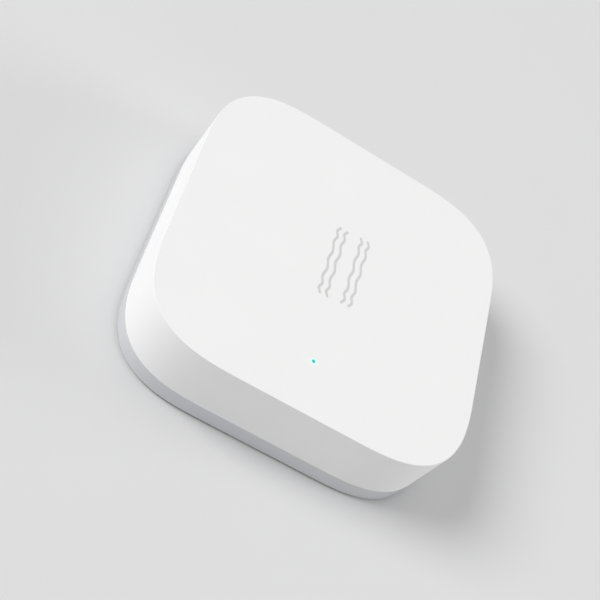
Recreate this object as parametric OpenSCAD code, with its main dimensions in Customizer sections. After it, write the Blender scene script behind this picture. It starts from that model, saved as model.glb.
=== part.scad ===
// Stick-on vibration sensor tag: a soft-cornered square case with a pull-off base cover, a coin cell
// in a screwed-in frame, and a circuit board with a side button and a status light.
// Millimetres. The origin is the centre of the adhesive pad's underside, and +Z leaves the face.
// +Y runs from the status light towards the mark, and the button is in the +X wall.

/* [Case] */
// Width and depth of the square case
case_w = 44; // [40:0.5:60]
// Length of each side that a corner takes up
corner_reach = 14.4; // [10:0.1:17.5]
// Fullness of the corners: 2 is a circle, higher is squarer
corner_power = 2.95; // [2:0.05:4]
// Height of the white shell above the parting line
shell_h = 8.5; // [7.5:0.1:14]
// Height of the grey band below the parting line
base_h = 2.46; // [2.2:0.02:5]
// Wall thickness of the shell
shell_wall = 1.4; // [1:0.1:2]
// Thickness of the face
face_t = 1.3; // [1:0.1:2]
// Rounding along the edge of the face
face_edge_r = 0.12; // [0.06:0.02:0.8]

/* [Base cover] */
// Thickness of the floor
floor_t = 1.4; // [1.1:0.1:2]
// Rounding along the bottom edge
base_edge_r = 0.12; // [0.06:0.02:0.8]
// Height of the lip that plugs into the shell
lip_h = 1.4; // [1:0.1:2]
// Thickness of the lip
lip_t = 0.9; // [0.7:0.1:1.4]
// Gap between the lip and the shell's wall
lip_clear = 0.15; // [0.1:0.01:0.3]
// Gap between a snap bead and the shell's wall
bead_clear = 0.03; // [0.02:0.01:0.06]
// Length of each snap bead
bead_l = 3.2; // [2:0.1:4]
// Height of each snap bead
bead_h = 0.6; // [0.4:0.05:0.8]
// Distance of each bead from the middle of its side
bead_at = 5; // [4.8:0.1:5.6]
// Width of the opening notch in the rim
notch_w = 8; // [4:0.5:12]
// Height of the opening notch
notch_h = 0.8; // [0.5:0.05:1]
// Depth of the opening notch
notch_d = 1; // [0.5:0.1:1.6]
// Diameter of the posts below the cell
post_d = 2.4; // [1.6:0.1:4]
// Distance of the posts from the centre
post_at = 6; // [4:0.1:6.5]
// Gap between the posts and the cell
post_gap = 0.1; // [0.05:0.05:0.3]
// Height of the stiffening ring on the floor
rib_h = 0.8; // [0.4:0.1:1]

/* [Adhesive pad] */
// Width of the pad
pad_w = 32; // [20:0.5:36]
// Length of each side that a pad corner takes up
pad_reach = 8; // [4:0.1:10]
// Thickness of the pad
pad_t = 0.8; // [0.6:0.05:1.1]
// How far the pad stands out of its recess
pad_proud = 0.3; // [0.2:0.05:0.5]
// Gap round the pad in its recess
pad_clear = 0.2; // [0.1:0.05:0.5]

/* [Circuit board] */
// Thickness of the board
board_t = 0.8; // [0.6:0.1:1.6]
// Gap between the board and the inside of the face
board_gap = 1.3; // [1.1:0.05:2.2]
// Gap between the board's edge and the shell's wall
board_clear = 1.6; // [1.2:0.1:2.4]
// Diameter of the standoffs that the board rests on
standoff_d = 2; // [1.4:0.1:3]
// Distance of the standoffs from the board's left and right edges
standoff_in = 2.2; // [1.6:0.1:3]
// Distance of the standoffs from the board's centre line
standoff_at = 11; // [9:0.1:11.5]

/* [Coin cell] */
// Diameter of the cell
cell_d = 20; // [16:0.1:24.5]
// Thickness of the cell
cell_h = 3.2; // [2.5:0.1:4.5]
// Sheet thickness of the can and the cap
cell_sheet = 0.28; // [0.2:0.01:0.4]
// Width of the can's crimped rim
crimp_w = 0.7; // [0.5:0.05:1]
// Width of the insulating ring that shows inside the rim
gasket_w = 0.45; // [0.3:0.05:0.8]
// Gap that the spring contact bridges between the cell and the board
contact_gap = 0.8; // [0.6:0.05:1.4]

/* [Battery frame] */
// Gap between the cell and the ring round it
cell_clear = 0.2; // [0.1:0.05:0.4]
// Wall thickness of the ring
frame_wall = 1.3; // [1:0.1:2]
// How far the cell stands out of the ring
ring_short = 0.5; // [0.2:0.1:1]
// Width of the arms
arm_w = 4; // [3:0.1:5]
// Thickness of the arms
arm_t = 1.2; // [0.9:0.1:1.6]
// Gap between the arms and the board
arm_drop = 1.2; // [0.9:0.1:1.6]
// Width of the finger notch in the ring
finger_w = 9; // [6:0.1:11]
// Height of the finger notch
finger_h = 1.5; // [1:0.1:2]

/* [Bosses and screws] */
// Diameter of the screw bosses
boss_d = 3.8; // [3:0.1:4.4]
// Gap between a boss and the corner of the shell's wall
boss_gap = 1; // [0.9:0.1:1.4]
// Gap between a boss and the board
boss_clear = 0.25; // [0.1:0.05:0.4]
// Diameter of the screw shanks
screw_d = 1.4; // [1.2:0.1:1.8]
// Length of the screw shanks
screw_l = 3.8; // [3:0.1:4.2]
// Diameter of the screw heads
head_d = 2.8; // [2.4:0.1:3.2]
// Height of the screw heads
head_h = 0.8; // [0.6:0.1:1.2]

/* [Contacts] */
// Sheet thickness of the spring contacts
contact_t = 0.2; // [0.15:0.01:0.3]
// Gap between a contact and the cell
contact_clear = 0.05; // [0.02:0.01:0.1]
// Width of the positive contact
positive_w = 4; // [3:0.1:6]
// Length of the positive contact's soldered foot
positive_foot = 2.2; // [1.5:0.1:3]
// Length of the negative contact
negative_l = 9; // [6:0.1:11]
// Width of the negative contact
negative_w = 5; // [4:0.1:8]

/* [Button and switch] */
// Diameter of the button
button_d = 3.2; // [2.4:0.1:4]
// Gap round the button in its hole
button_clear = 0.08; // [0.05:0.01:0.15]
// How far the button lies below the wall's surface
button_sink = 0.1; // [0:0.05:0.3]
// How far the button travels
button_travel = 0.25; // [0.15:0.05:0.35]
// How far the button's collar stands out round it
collar_w = 0.6; // [0.4:0.1:0.9]
// Thickness of the collar
collar_t = 0.6; // [0.4:0.1:0.8]
// Gap between the collar and the shell's wall
collar_gap = 0.1; // [0.05:0.05:0.2]
// Diameter of the button's stem
stem_d = 1.8; // [1.2:0.1:2.2]
// Length of the button's stem
stem_l = 0.5; // [0.4:0.1:1]
// Gap between the stem and the switch plunger
stem_gap = 0.03; // [0.02:0.01:0.06]
// Width of the switch
switch_w = 4.6; // [3.6:0.1:6]
// Length of the switch
switch_l = 3.4; // [3:0.1:4]
// Height of the switch
switch_h = 1.9; // [1.6:0.1:2.4]
// Width of the switch plunger
plunger_w = 1.7; // [1.2:0.1:2.4]
// Height of the switch plunger
plunger_h = 0.9; // [0.6:0.1:1.1]
// How far the plunger stands out of the switch
plunger_out = 0.8; // [0.5:0.1:1]
// Length of the plunger inside the switch
plunger_in = 0.9; // [0.6:0.1:1.2]
// Gap round the plunger in the switch
plunger_clear = 0.05; // [0.03:0.01:0.1]
// Sheet thickness of the switch's steel cover
cover_t = 0.15; // [0.1:0.01:0.25]

/* [Status light] */
// Diameter of the light guide at the face
guide_d = 0.7; // [0.5:0.05:1.5]
// Distance of the light guide from the front edge of the case
guide_in = 7.3; // [6:0.05:9]
// Diameter of the light guide's flange
guide_flange_d = 2.4; // [1.8:0.1:3]
// Gap round the light guide in the face
guide_clear = 0.03; // [0.02:0.01:0.06]
// Length of the lamp
led_l = 1.6; // [1:0.1:2]
// Width of the lamp
led_w = 0.8; // [0.5:0.1:1.2]
// Height of the lamp
led_h = 0.6; // [0.4:0.05:0.8]
// Gap between the lamp and the light guide
led_gap = 0.2; // [0.1:0.05:0.25]

/* [Mark] */
// Distance of the mark's middle from the face's middle, to the right
mark_x = 0.46; // [-4:0.02:4]
// Distance of the mark's middle from the face's middle, upwards
mark_y = 1; // [-4:0.05:6]
// Length of the strokes
mark_l = 11.3; // [6:0.1:16]
// Width of the strokes
stroke_w = 0.36; // [0.25:0.01:0.6]
// Distance between the two strokes of a pair
stroke_step = 1.06; // [0.8:0.01:1.6]
// Distance between the middles of the two pairs
pair_step = 3.42; // [2.6:0.01:6]
// How much higher the right pair stands than the left
pair_rise = 0.28; // [-1:0.02:1]
// Lean of the strokes to the right, in degrees
mark_lean = 1.3; // [-5:0.1:5]
// Sideways swing of the waves
wave_swing = 0.13; // [0.08:0.01:0.4]
// Extra swing of the hooked ends
wave_hook = 0.05; // [0:0.01:0.2]
// Number of waves in a stroke
waves = 5; // [3:1:7]
// How much closer the waves lie at the ends than in the middle
wave_squeeze = 0.39; // [0:0.01:0.5]
// How far the waves in the middle are evened out
wave_evening = 0.2; // [0:0.01:0.3]
// Depth of the inlay
mark_depth = 0.12; // [0.08:0.01:0.3]
// Gap round the inlay
mark_clear = 0.02; // [0.01:0.005:0.04]

/* [Components] */
// Place of the radio chip on the board, from the board's middle
radio_at = [-4.5, 5]; // [-8:0.1:8]
// Width of the square radio chip
radio_w = 6; // [4:0.1:7]
// Height of the radio chip
radio_h = 0.9; // [0.6:0.05:1]
// Place of the motion sensor on the board
sensor_at = [5.5, -1]; // [-8:0.1:8]
// Width of the square motion sensor
sensor_w = 3; // [2:0.1:4]
// Height of the motion sensor
sensor_h = 0.95; // [0.7:0.05:1]
// Place of the memory chip on the board
memory_at = [6.5, 5.5]; // [-8:0.1:8]
// Length and width of the memory chip
memory_size = [4.9, 3.9]; // [2:0.1:5]
// Height of the memory chip
memory_h = 0.8; // [0.5:0.05:1]
// Length and width of the main crystal
crystal_size = [2.5, 2]; // [1.6:0.1:3.2]
// Height of the crystals
crystal_h = 0.6; // [0.4:0.05:0.9]
// Length and width of the antenna
antenna_size = [7, 2]; // [1.5:0.1:9]
// Height of the antenna
antenna_h = 0.9; // [0.6:0.05:1]
// Gap between the antenna and the board's edge
antenna_in = 0.8; // [0.4:0.1:2]
// Length and width of the bulk capacitor
bulk_size = [3.5, 2.8]; // [2:0.1:4]
// Height of the bulk capacitor
bulk_h = 1.9; // [1.2:0.1:2.4]
// Length and width of the small capacitors and resistors
chip_size = [1, 0.5]; // [0.4:0.05:1.2]
// Height of the small capacitors
capacitor_h = 0.5; // [0.3:0.05:0.7]
// Height of the small resistors
resistor_h = 0.35; // [0.2:0.05:0.5]
// Gap between a chip and the small parts beside it
chip_gap = 0.7; // [0.5:0.05:1]
// Spacing of small parts in a row
chip_step = 1.3; // [1:0.05:1.5]
// Diameter of the test pads
test_pad_d = 1.3; // [0.8:0.1:1.6]
// Thickness of the test pads
test_pad_t = 0.05; // [0.03:0.01:0.1]
// Spacing of the test pads
test_pad_step = 2.2; // [1.8:0.1:2.6]

/* [Hidden] */

$fn = 48;
// Straight pieces in each soft corner, rings in an edge rounding, and points in each wave of a stroke
corner_steps = 24;
edge_steps = 4;
wave_steps = 10;
// How fast the extra swing fades away from the ends of a stroke
hook_power = 16;
// Overlap of cuts past the surface that they leave through
cut = 0.5;
// Overlap of pieces of one solid where they meet
root = 0.2;

// Half widths and corner lengths, from the outside in
half = case_w / 2;
in_half = half - shell_wall;
in_reach = corner_reach - shell_wall;
lip_half = in_half - lip_clear;
lip_reach = in_reach - lip_clear;
well_half = lip_half - lip_t;
well_reach = lip_reach - lip_t;
board_half = in_half - board_clear;
board_reach = in_reach - board_clear;

// Levels, from the pad upwards and from the face downwards
base_z = pad_proud;
floor_z = base_z + floor_t;
part_z = base_z + base_h;
face_z = part_z + shell_h;
ceiling_z = face_z - face_t;
board_top = ceiling_z - board_gap;
board_bot = board_top - board_t;
cell_top = board_bot - contact_gap;
cell_bot = cell_top - cell_h;
ring_bot = cell_bot + ring_short;
arm_top = board_bot - arm_drop;
arm_bot = arm_top - arm_t;
bead_z = part_z + lip_h - bead_h;

// Cell, frame and bosses
cell_r = cell_d / 2;
cap_r = cell_r - crimp_w - gasket_w;
ring_in = cell_r + cell_clear;
ring_out = ring_in + frame_wall;
corner_full = pow(0.5, 1 / corner_power);
boss_at = in_half - in_reach + in_reach * corner_full - (boss_d / 2 + boss_gap) / sqrt(2);
eye_rim = 0.3;
eye_d = boss_d + 2 * eye_rim;
screw_clear = 0.15;
thread_clear = 0.02;
pilot_spare = 0.3;

// Button and switch, set inwards from the shell's wall
button_z = board_bot - switch_h / 2;
collar_d = button_d + 2 * collar_w;
collar_in = in_half - collar_gap - collar_t;
plunger_tip = collar_in - stem_l;
switch_front = plunger_tip - plunger_out;
switch_back = switch_front - switch_l;
pocket_spare = 0.15;
lip_relief = 0.4;
relief_w = collar_d + 2 * lip_relief;

// Snap beads and the grooves that they sit in
bead_out = lip_clear - bead_clear;
groove_d = 0.25;
groove_spare = 0.3;

// Light guide, between the lamp and the face
guide_y = guide_in - half;
guide_bot = board_top + led_h + led_gap;

function quarter_turn(p, q) = q == 0 ? p : quarter_turn([-p.y, p.x], q - 1);

// Square of a given half width whose corners are superellipse quarters
function soft_square(h, reach) = [
    for (q = [0:3], s = [0:corner_steps])
        let (a = 90 * s / corner_steps)
        quarter_turn([
            h - reach + reach * pow(cos(a), 2 / corner_power),
            h - reach + reach * pow(sin(a), 2 / corner_power)
        ], q)
];

module soft_prism(h, reach, z0, z1) {
    translate([0, 0, z0])
        linear_extrude(z1 - z0)
            polygon(soft_square(h, reach));
}

// Solid through soft squares at rising levels, each given as [inset, level]
module soft_loft(rings) {
    count = 4 * (corner_steps + 1);
    last = len(rings) - 1;
    points = [
        for (ring = rings, p = soft_square(half - ring[0], corner_reach - ring[0])) [p.x, p.y, ring[1]]
    ];
    sides = [
        for (k = [0:last - 1], i = [0:count - 1])
            let (j = (i + 1) % count)
            [k * count + i, (k + 1) * count + i, (k + 1) * count + j, k * count + j]
    ];
    bottom = [for (i = [0:count - 1]) i];
    top = [for (i = [count - 1:-1:0]) last * count + i];
    polyhedron(points, concat([bottom, top], sides));
}

module on_corners() {
    for (sx = [-1, 1], sy = [-1, 1])
        translate([sx * boss_at, sy * boss_at, 0])
            children();
}

// Copies along the four sides, left and right of each side's middle, facing outwards along +X
module on_sides() {
    for (q = [0:3], s = [-1, 1])
        rotate([0, 0, 90 * q])
            translate([0, s * bead_at, 0])
                children();
}

module rod(d, z0, z1) {
    translate([0, 0, z0])
        cylinder(d = d, h = z1 - z0);
}

module rod_x(d, x0, x1) {
    translate([x0, 0, 0])
        rotate([0, 90, 0])
            cylinder(d = d, h = x1 - x0);
}

module slab(x0, x1, w, z0, z1) {
    translate([x0, -w / 2, z0])
        cube([x1 - x0, w, z1 - z0]);
}

// Block that stands on a level, or hangs below it with a negative height
module block(at, size, z, h) {
    translate([at.x - size.x / 2, at.y - size.y / 2, min(z, z + h)])
        cube([size.x, size.y, abs(h)]);
}

// Sheet profile in the XZ plane, bent from a strip of the given width along Y
module strip(w, profile) {
    translate([0, w / 2, 0])
        rotate([90, 0, 0])
            linear_extrude(w)
                polygon(profile);
}

// Centre line of a wavy stroke from its top (s = 0) to its foot (s = 1)
function wave_phase(s) =
    waves * (s + wave_squeeze * sin(360 * s) / (2 * PI) + wave_evening * sin(720 * s) / (4 * PI));

function swing_at(s) = wave_swing + wave_hook * pow(abs(2 * s - 1), hook_power);

function wave_point(x, side, s) =
    let (up = mark_l * (0.5 - s))
    [
        x + side * swing_at(s) * cos(360 * wave_phase(s)) + up * tan(mark_lean),
        mark_y - side * pair_rise / 2 + up
    ];

function wave_along(x, side, s) =
    let (d = wave_point(x, side, s + 0.001) - wave_point(x, side, s - 0.001)) d / norm(d);

// Points beside the centre line, at an angle from its left-hand side
function wave_beside(x, side, s, r, a) =
    let (t = wave_along(x, side, s), n = [-t.y, t.x])
    wave_point(x, side, s) + r * (n * cos(a) + t * sin(a));

function wave_outline(x, side, w) =
    let (count = waves * wave_steps, r = w / 2, caps = [30:30:150])
    concat(
        [for (i = [0:count]) wave_beside(x, side, i / count, r, 0)],
        [for (a = caps) wave_beside(x, side, 1, r, a)],
        [for (i = [count:-1:0]) wave_beside(x, side, i / count, r, 180)],
        [for (a = caps) wave_beside(x, side, 0, r, 180 + a)]
    );

module mark_strokes(w, z0, z1) {
    for (side = [1, -1], s = [-1, 1])
        translate([0, 0, z0])
            linear_extrude(z1 - z0)
                polygon(wave_outline(mark_x - side * pair_step / 2 + s * stroke_step / 2, side, w));
}

module front_shell() {
    color("white")
        difference() {
            union() {
                difference() {
                    soft_loft(concat(
                        [[0, part_z]],
                        [for (i = [0:edge_steps])
                            let (a = 90 * i / edge_steps)
                            [face_edge_r * (1 - cos(a)), face_z - face_edge_r * (1 - sin(a))]]
                    ));
                    soft_prism(in_half, in_reach, part_z - cut, ceiling_z);
                }
                on_corners()
                    rod(boss_d, arm_top, ceiling_z + root);
                for (sx = [-1, 1], sy = [-1, 1])
                    translate([sx * (board_half - standoff_in), sy * standoff_at, 0])
                        rod(standoff_d, board_top, ceiling_z + root);
            }
            on_corners()
                rod(screw_d + 2 * thread_clear, arm_top - cut, arm_bot + screw_l + pilot_spare);
            translate([0, 0, button_z])
                rod_x(button_d + 2 * button_clear, in_half - cut, half + cut);
            translate([0, guide_y, 0])
                rod(guide_d + 2 * guide_clear, ceiling_z - cut, face_z + cut);
            mark_strokes(stroke_w + 2 * mark_clear, face_z - mark_depth, face_z + cut);
            on_sides()
                slab(in_half - cut, in_half + groove_d, bead_l + groove_spare,
                    bead_z - groove_spare, bead_z + bead_h + groove_spare);
        }
}

module vibration_mark() {
    color("silver")
        mark_strokes(stroke_w, face_z - mark_depth, face_z);
}

module light_guide() {
    color("turquoise")
        translate([0, guide_y, 0]) {
            rod(guide_flange_d, guide_bot, ceiling_z);
            rod(guide_d, ceiling_z - root, face_z);
        }
}

module reset_button() {
    color("whitesmoke")
        translate([0, 0, button_z]) {
            rod_x(button_d, collar_in + root, half - button_sink);
            rod_x(collar_d, collar_in, collar_in + collar_t);
            rod_x(stem_d, plunger_tip + stem_gap, collar_in + root);
        }
}

module base_cover() {
    bead_profile = [
        [lip_half - root, bead_z],
        [lip_half, bead_z],
        [lip_half + bead_out, bead_z + bead_h / 2],
        [lip_half, bead_z + bead_h],
        [lip_half - root, bead_z + bead_h]
    ];
    color("lightsteelblue") {
        difference() {
            union() {
                soft_loft(concat(
                    [for (i = [0:edge_steps])
                        let (a = 90 * i / edge_steps)
                        [base_edge_r * (1 - sin(a)), base_z + base_edge_r * (1 - cos(a))]],
                    [[0, part_z]]
                ));
                soft_prism(lip_half, lip_reach, part_z - root, part_z + lip_h);
                on_sides()
                    strip(bead_l, bead_profile);
            }
            soft_prism(well_half, well_reach, floor_z, part_z + lip_h + cut);
            soft_prism(pad_w / 2 + pad_clear, pad_reach + pad_clear, base_z - cut, pad_t);
            slab(well_half - cut, half, relief_w, part_z, part_z + lip_h + cut);
            rotate([0, 0, 90])
                slab(half - notch_d, half + cut, notch_w, part_z - notch_h, part_z + cut);
        }
        for (k = [0:2])
            rotate([0, 0, 90 + 120 * k])
                translate([post_at, 0, 0])
                    rod(post_d, floor_z - root, cell_bot - post_gap);
        difference() {
            rod(2 * ring_out, floor_z - root, floor_z + rib_h);
            rod(2 * ring_in, floor_z - cut, floor_z + rib_h + cut);
        }
    }
}

module adhesive_pad() {
    color("gainsboro")
        soft_prism(pad_w / 2, pad_reach, 0, pad_t);
}

module circuit_board() {
    color("darkgreen")
        difference() {
            soft_prism(board_half, board_reach, board_bot, board_top);
            on_corners()
                rod(boss_d + 2 * boss_clear, board_bot - cut, board_top + cut);
        }
}

module battery_frame() {
    slot_clear = 0.3;
    slot_w = positive_w + 2 * slot_clear;
    bridge_h = 0.8;
    color("dimgray")
        difference() {
            union() {
                rod(2 * ring_out, ring_bot, board_bot);
                for (q = [0:3])
                    rotate([0, 0, 45 + 90 * q]) {
                        slab(ring_in, boss_at * sqrt(2), arm_w, arm_bot, arm_top);
                        translate([boss_at * sqrt(2), 0, 0])
                            rod(eye_d, arm_bot, arm_top);
                    }
            }
            rod(2 * ring_in, ring_bot - cut, board_bot + cut);
            on_corners()
                rod(screw_d + 2 * screw_clear, arm_bot - cut, arm_top + cut);
            slab(-ring_out - cut, -cell_r + cut, slot_w, ring_bot + bridge_h, board_bot + cut);
            rotate([0, 0, -90])
                slab(cell_r - cut, ring_out + cut, finger_w, ring_bot - cut, ring_bot + finger_h);
        }
}

module frame_screws() {
    recess_w = 0.36;
    recess_l = 1.7;
    recess_d = 0.45;
    color("silver")
        on_corners()
            difference() {
                union() {
                    rod(head_d, arm_bot - head_h, arm_bot);
                    rod(screw_d, arm_bot - root, arm_bot + screw_l);
                }
                block([0, 0], [recess_l, recess_w], arm_bot - head_h - cut, recess_d + cut);
                block([0, 0], [recess_w, recess_l], arm_bot - head_h - cut, recess_d + cut);
            }
}

// Rounded bottom edge and crimped top edge of the cell, from the axis outwards
can_round = 0.4;
crimp_h = 0.35;
rim_drop = 0.15;
skirt_drop = 0.6;

module turned(profile) {
    translate([0, 0, cell_bot])
        rotate_extrude($fn = 96)
            polygon(profile);
}

module cell_can() {
    plus_l = 4;
    plus_w = 0.8;
    plus_d = 0.06;
    wall_r = cell_r - cell_sheet;
    crimp_r = cell_r - crimp_w;
    rim_z = cell_h - rim_drop;
    color("silver")
        difference() {
            turned([
                [0, 0],
                [cell_r - can_round, 0],
                [cell_r - can_round * (1 - sin(45)), can_round * (1 - cos(45))],
                [cell_r, can_round],
                [cell_r, rim_z - crimp_h],
                [cell_r - crimp_h * (1 - cos(45)), rim_z - crimp_h * (1 - sin(45))],
                [cell_r - crimp_h, rim_z],
                [crimp_r, rim_z],
                [crimp_r, rim_z - cell_sheet],
                [wall_r, rim_z - crimp_h - cell_sheet],
                [wall_r, cell_sheet],
                [0, cell_sheet]
            ]);
            block([0, 0], [plus_l, plus_w], cell_bot - cut, cut + plus_d);
            block([0, 0], [plus_w, plus_l], cell_bot - cut, cut + plus_d);
        }
}

module cell_gasket() {
    wall_r = cell_r - cell_sheet;
    crimp_r = cell_r - crimp_w;
    rim_z = cell_h - rim_drop;
    color("dimgray")
        turned([
            [cap_r - cell_sheet, cell_sheet],
            [wall_r, cell_sheet],
            [wall_r, rim_z - crimp_h - cell_sheet],
            [crimp_r, rim_z - cell_sheet],
            [crimp_r, rim_z],
            [cap_r, rim_z],
            [cap_r, skirt_drop],
            [cap_r - cell_sheet, skirt_drop]
        ]);
}

module cell_cap() {
    color("silver")
        turned([
            [0, cell_h - cell_sheet],
            [cap_r - cell_sheet, cell_h - cell_sheet],
            [cap_r - cell_sheet, skirt_drop],
            [cap_r, skirt_drop],
            [cap_r, cell_h - cell_sheet],
            [cap_r - cell_sheet, cell_h],
            [0, cell_h]
        ]);
}

module cell_pellet() {
    color("black")
        rod(2 * (cap_r - cell_sheet), cell_bot + cell_sheet, cell_top - cell_sheet);
}

// Spring strip from a foot on the board down the side of the can
module positive_contact() {
    near_x = -cell_r - contact_clear;
    lead_in = 0.25;
    leaf_rise = 1.1;
    leaf_bot = ring_bot + leaf_rise;
    touch_z = (leaf_bot + cell_top) / 2;
    foot_x = -ring_out - positive_foot;
    color("goldenrod")
        strip(positive_w, [
            [foot_x, board_bot],
            [near_x - lead_in, board_bot],
            [near_x, touch_z],
            [near_x - lead_in, leaf_bot],
            [near_x - lead_in - contact_t, leaf_bot],
            [near_x - contact_t, touch_z],
            [near_x - lead_in - contact_t, board_bot - contact_t],
            [foot_x, board_bot - contact_t]
        ]);
}

// Plate on the board with two tongues cut out of it, which press on the cap
module negative_contact() {
    start_x = -negative_l / 2;
    tip_x = negative_l / 5;
    tip_l = 0.9;
    tip_rise = 0.12;
    bend_l = 0.9;
    window_in = 1.4;
    window_clear = 0.15;
    plate_z = board_bot - contact_t;
    tip_z = cell_top + contact_clear;
    tongue_w = negative_w / 3;
    color("goldenrod") {
        difference() {
            slab(start_x, negative_l / 2, negative_w, plate_z, board_bot);
            for (s = [-1, 1])
                translate([0, s * negative_w / 4, 0])
                    slab(start_x + window_in, tip_x + tip_l + window_clear, tongue_w + 2 * window_clear,
                        plate_z - cut, board_bot + cut);
        }
        for (s = [-1, 1])
            translate([0, s * negative_w / 4, 0])
                strip(tongue_w, [
                    [start_x, plate_z],
                    [tip_x, tip_z],
                    [tip_x + tip_l, tip_z + tip_rise],
                    [tip_x + tip_l, tip_z + tip_rise + contact_t],
                    [tip_x, tip_z + contact_t],
                    [start_x + bend_l, plate_z + contact_t / 2],
                    [start_x, plate_z + contact_t / 2]
                ]);
    }
}

module switch_housing() {
    color("black")
        difference() {
            slab(switch_back, switch_front, switch_w, board_bot - switch_h, board_bot);
            slab(switch_front - plunger_in - button_travel - pocket_spare, switch_front + cut,
                plunger_w + 2 * plunger_clear,
                button_z - plunger_h / 2 - plunger_clear, button_z + plunger_h / 2 + plunger_clear);
        }
}

// Steel sheet folded round the housing, with a soldered foot on each side
module switch_cover() {
    cover_in = 0.3;
    foot_w = 1.2;
    foot_l = 0.7;
    side = switch_w / 2;
    low_z = board_bot - switch_h - cover_t;
    middle = (switch_back + switch_front) / 2;
    color("silver") {
        slab(switch_back + cover_in, switch_front - cover_in, switch_w + 2 * cover_t,
            low_z, low_z + cover_t);
        for (s = [-1, 1]) {
            translate([0, s * (side + cover_t / 2), 0])
                slab(switch_back + cover_in, switch_front - cover_in, cover_t, low_z, board_bot);
            translate([0, s * (side + foot_l / 2), 0])
                slab(middle - foot_w / 2, middle + foot_w / 2, foot_l, board_bot - cover_t, board_bot);
        }
    }
}

module switch_plunger() {
    color("ivory")
        slab(switch_front - plunger_in, plunger_tip, plunger_w,
            button_z - plunger_h / 2, button_z + plunger_h / 2);
}

module status_led() {
    color("lightcyan")
        block([0, guide_y], [led_l, led_w], board_top, led_h);
}

module radio_chip() {
    color("black")
        block(radio_at, [radio_w, radio_w], board_top, radio_h);
}

module motion_sensor() {
    color("black")
        block(sensor_at, [sensor_w, sensor_w], board_top, sensor_h);
}

module memory_chip() {
    color("black")
        block(memory_at, memory_size, board_top, memory_h);
}

// Small parts in rows beside the chips, each row given as [middle, count, turned]
beside_radio = radio_w / 2 + chip_gap + chip_size.y / 2;
capacitor_rows = [
    [radio_at + [0, -beside_radio], 4, false],
    [radio_at + [-beside_radio, 0], 4, true],
    [sensor_at + [sensor_w / 2 + chip_gap + chip_size.y / 2, 0], 2, true],
    [memory_at + [0, -memory_size.y / 2 - chip_gap - chip_size.y / 2], 2, false]
];
resistor_rows = [
    [radio_at + [beside_radio, 0], 3, true],
    [[-led_l / 2 - chip_gap - chip_size.x, guide_y], 2, false],
    [sensor_at + [-sensor_w / 2 - chip_gap - chip_size.y / 2, 0], 2, true]
];

module small_parts(rows, h) {
    for (row = rows, k = [0:row[1] - 1])
        let (shift = (k - (row[1] - 1) / 2) * chip_step)
        if (row[2])
            block(row[0] + [0, shift], [chip_size.y, chip_size.x], board_top, h);
        else
            block(row[0] + [shift, 0], chip_size, board_top, h);
}

module crystals() {
    watch_crystal = [1.6, 1];
    outside = beside_radio + chip_size.y / 2 + chip_gap;
    color("gold") {
        block(radio_at + [-outside - crystal_size.x / 2, 0], crystal_size, board_top, crystal_h);
        block(radio_at + [0, radio_w / 2 + chip_gap + watch_crystal.y / 2], watch_crystal,
            board_top, crystal_h);
    }
}

module chip_antenna() {
    color("lightblue")
        block([0, board_half - antenna_in - antenna_size.y / 2], antenna_size, board_top, antenna_h);
}

module bulk_capacitor() {
    color("orange")
        block([0, ring_out + chip_gap + bulk_size.y / 2], bulk_size, board_bot, -bulk_h);
}

module capacitors() {
    color("tan")
        small_parts(capacitor_rows, capacitor_h);
}

module resistors() {
    color("black")
        small_parts(resistor_rows, resistor_h);
}

module test_pads() {
    color("gold")
        for (k = [-2:2])
            translate([k * test_pad_step, -ring_out - chip_gap - test_pad_d / 2, 0])
                rod(test_pad_d, board_bot - test_pad_t, board_bot);
}

front_shell();
vibration_mark();
light_guide();
reset_button();
base_cover();
adhesive_pad();
circuit_board();
battery_frame();
frame_screws();
cell_can();
cell_gasket();
cell_cap();
cell_pellet();
positive_contact();
negative_contact();
switch_housing();
switch_cover();
switch_plunger();
status_led();
radio_chip();
motion_sensor();
memory_chip();
crystals();
chip_antenna();
bulk_capacitor();
capacitors();
resistors();
test_pads();
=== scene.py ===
# Looks of a stick-on vibration sensor tag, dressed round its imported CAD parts.
# Metres, in the CAD frame: the origin is the centre of the adhesive pad's underside, +Z leaves the face,
# +Y runs from the status light to the wave mark, and +X points at the side button.
import math

import bmesh
import bpy
from mathutils import Matrix, Quaternion, Vector


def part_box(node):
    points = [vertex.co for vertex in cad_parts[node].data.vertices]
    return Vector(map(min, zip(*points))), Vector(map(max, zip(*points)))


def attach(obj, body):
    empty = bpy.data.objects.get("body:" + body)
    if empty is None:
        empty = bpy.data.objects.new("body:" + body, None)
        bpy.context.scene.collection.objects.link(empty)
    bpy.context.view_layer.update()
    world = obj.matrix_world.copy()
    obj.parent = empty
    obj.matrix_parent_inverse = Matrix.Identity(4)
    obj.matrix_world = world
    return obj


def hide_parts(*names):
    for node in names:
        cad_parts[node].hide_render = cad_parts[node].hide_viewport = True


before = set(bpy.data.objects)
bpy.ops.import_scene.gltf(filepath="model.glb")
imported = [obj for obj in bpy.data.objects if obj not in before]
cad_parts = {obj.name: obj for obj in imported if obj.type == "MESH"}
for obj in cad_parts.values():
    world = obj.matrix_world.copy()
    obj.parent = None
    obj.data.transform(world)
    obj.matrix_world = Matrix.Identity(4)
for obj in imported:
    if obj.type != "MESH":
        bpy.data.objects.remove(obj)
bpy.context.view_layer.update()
scene = bpy.context.scene
MM = 0.001

# Boxes of the CAD parts that the pieces below are fitted to
shell_low, shell_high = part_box("front_shell")
base_low, base_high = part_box("base_cover")
pad_low, pad_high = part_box("adhesive_pad")
board_low, board_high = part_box("circuit_board")
guide_low, guide_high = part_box("light_guide")
button_low, button_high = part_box("reset_button")
can_low, can_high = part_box("cell_can")
cap_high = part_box("cell_cap")[1]
screws_low, screws_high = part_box("frame_screws")

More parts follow.
